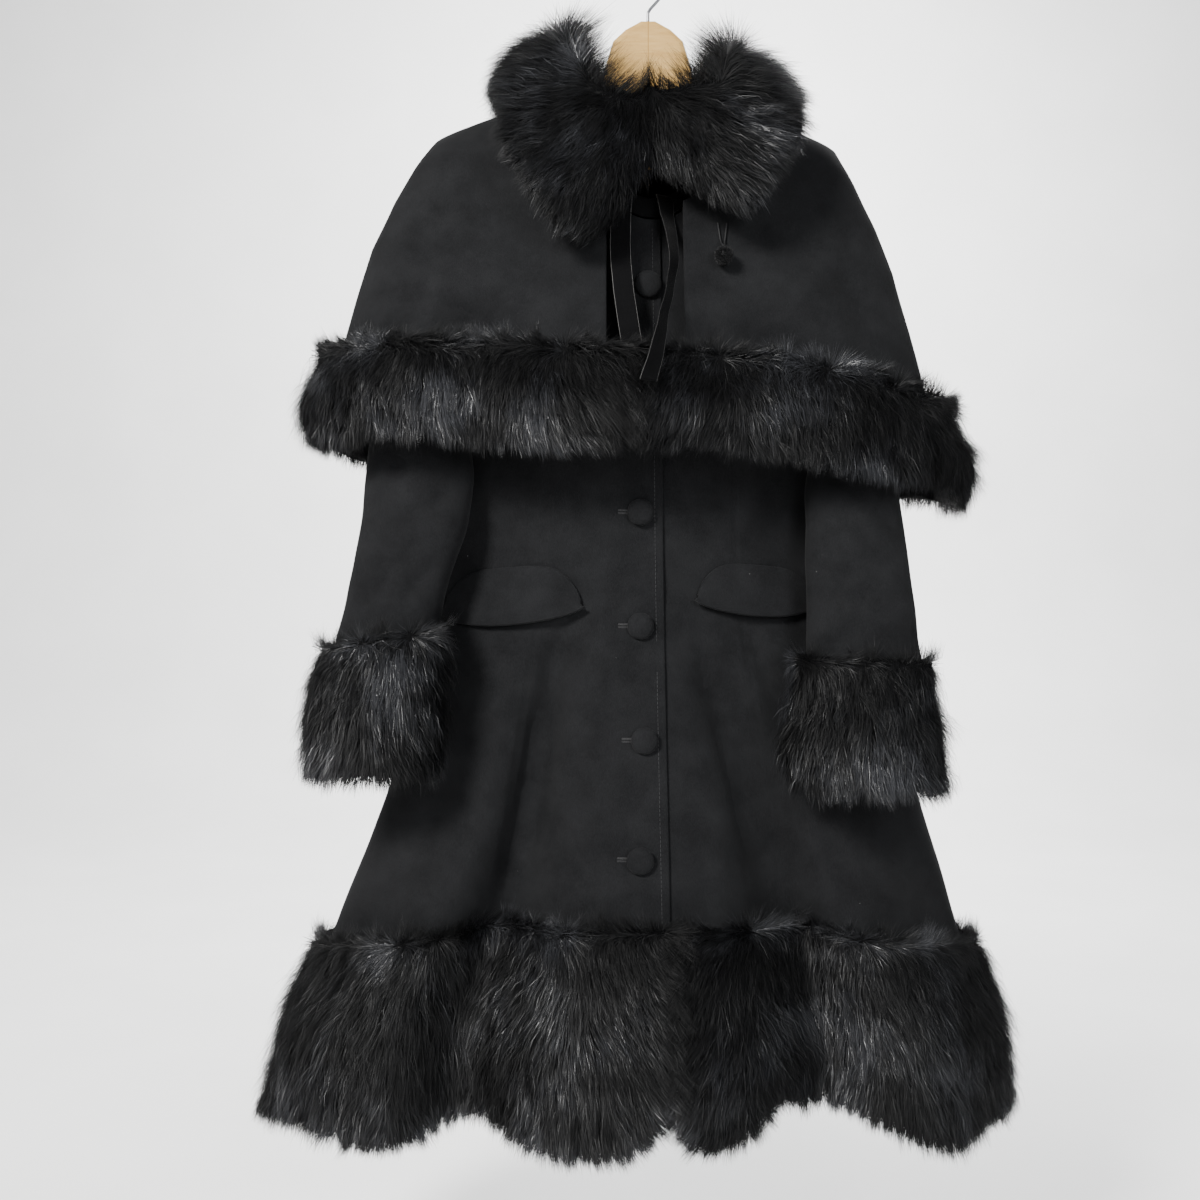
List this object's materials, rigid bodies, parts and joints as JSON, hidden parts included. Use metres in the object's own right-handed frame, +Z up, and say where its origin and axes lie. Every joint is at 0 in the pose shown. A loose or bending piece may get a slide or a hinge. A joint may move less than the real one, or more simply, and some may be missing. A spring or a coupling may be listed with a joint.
{
  "type": "caped long coat on a hanger",
  "caption": "Flared knee-length wool coat with a shoulder cape and long fur at its collar, cape edge, cuffs and hem, buttoned on a wooden hanger.",
  "frame": {"origin": "inside top of the hanger's hook, where it rests on a rod", "axes": "+Z up, the coat's front faces -Y, and +X is towards the wearer's left sleeve"},
  "size_m": [0.7364, 0.2682, 1.145],
  "materials": {
    "wool": "black wool cloth with a short matt nap",
    "button_cloth": "the coat's cloth stretched over a button",
    "fur": "long glossy black fur",
    "velvet": "black velvet ribbon with pale edges",
    "trim": "black cord and yarn",
    "hanger_wood": "pale lacquered beech",
    "hanger_steel": "polished wire"
  },
  "bodies": {
    "root": {"coat_front_right": "wool", "coat_front_left": "wool", "coat_back": "wool", "sleeve_right": "wool", "sleeve_left": "wool", "pocket_flap_right": "wool", "pocket_flap_left": "wool", "button_1": "button_cloth", "button_2": "button_cloth", "button_3": "button_cloth", "button_4": "button_cloth", "button_5": "button_cloth", "button_6": "button_cloth", "cape_right": "wool", "cape_left": "wool", "cape_back": "wool", "hem_fur_right": "fur", "hem_fur_left": "fur", "cape_fur_right": "fur", "cape_fur_left": "fur", "cuff_fur_right": "fur", "cuff_fur_left": "fur", "collar_fur": "fur", "neck_band": "velvet", "ribbon_right": "velvet", "ribbon_left": "velvet", "pompom": "trim", "pompom_strings": "trim", "hanger_wood": "hanger_wood", "hanger_hook": "hanger_steel"}
  },
  "joints": []
}
